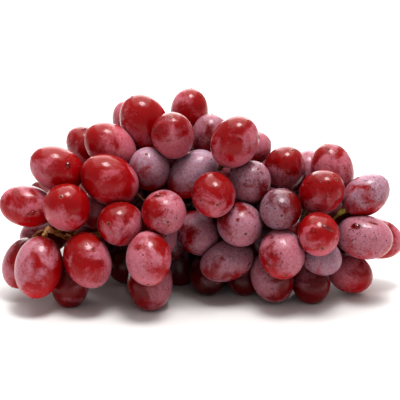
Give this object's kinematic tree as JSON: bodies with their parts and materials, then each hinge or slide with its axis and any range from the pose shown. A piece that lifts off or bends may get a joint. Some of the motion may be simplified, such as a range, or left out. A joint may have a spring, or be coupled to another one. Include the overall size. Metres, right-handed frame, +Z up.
{
  "type": "bunch of grapes",
  "caption": "Bunch of red oval table grapes lying on its side, with pressed-together berries on a branched green-brown stem.",
  "frame": {"origin": "middle of the bunch's outline, on the surface that it lies on", "axes": "+Z up, +X along the bunch's length, -Y towards the side that the picture shows"},
  "size_m": [0.184, 0.1166, 0.0876],
  "materials": {
    "grape_skin": "smooth waxy skin, glossy where rubbed and matt where the pale bloom is left",
    "grape_stem": "green-brown fibrous stem, dry and matt"
  },
  "bodies": {
    "root": {"berries": "grape_skin", "stem": "grape_stem"}
  },
  "joints": []
}
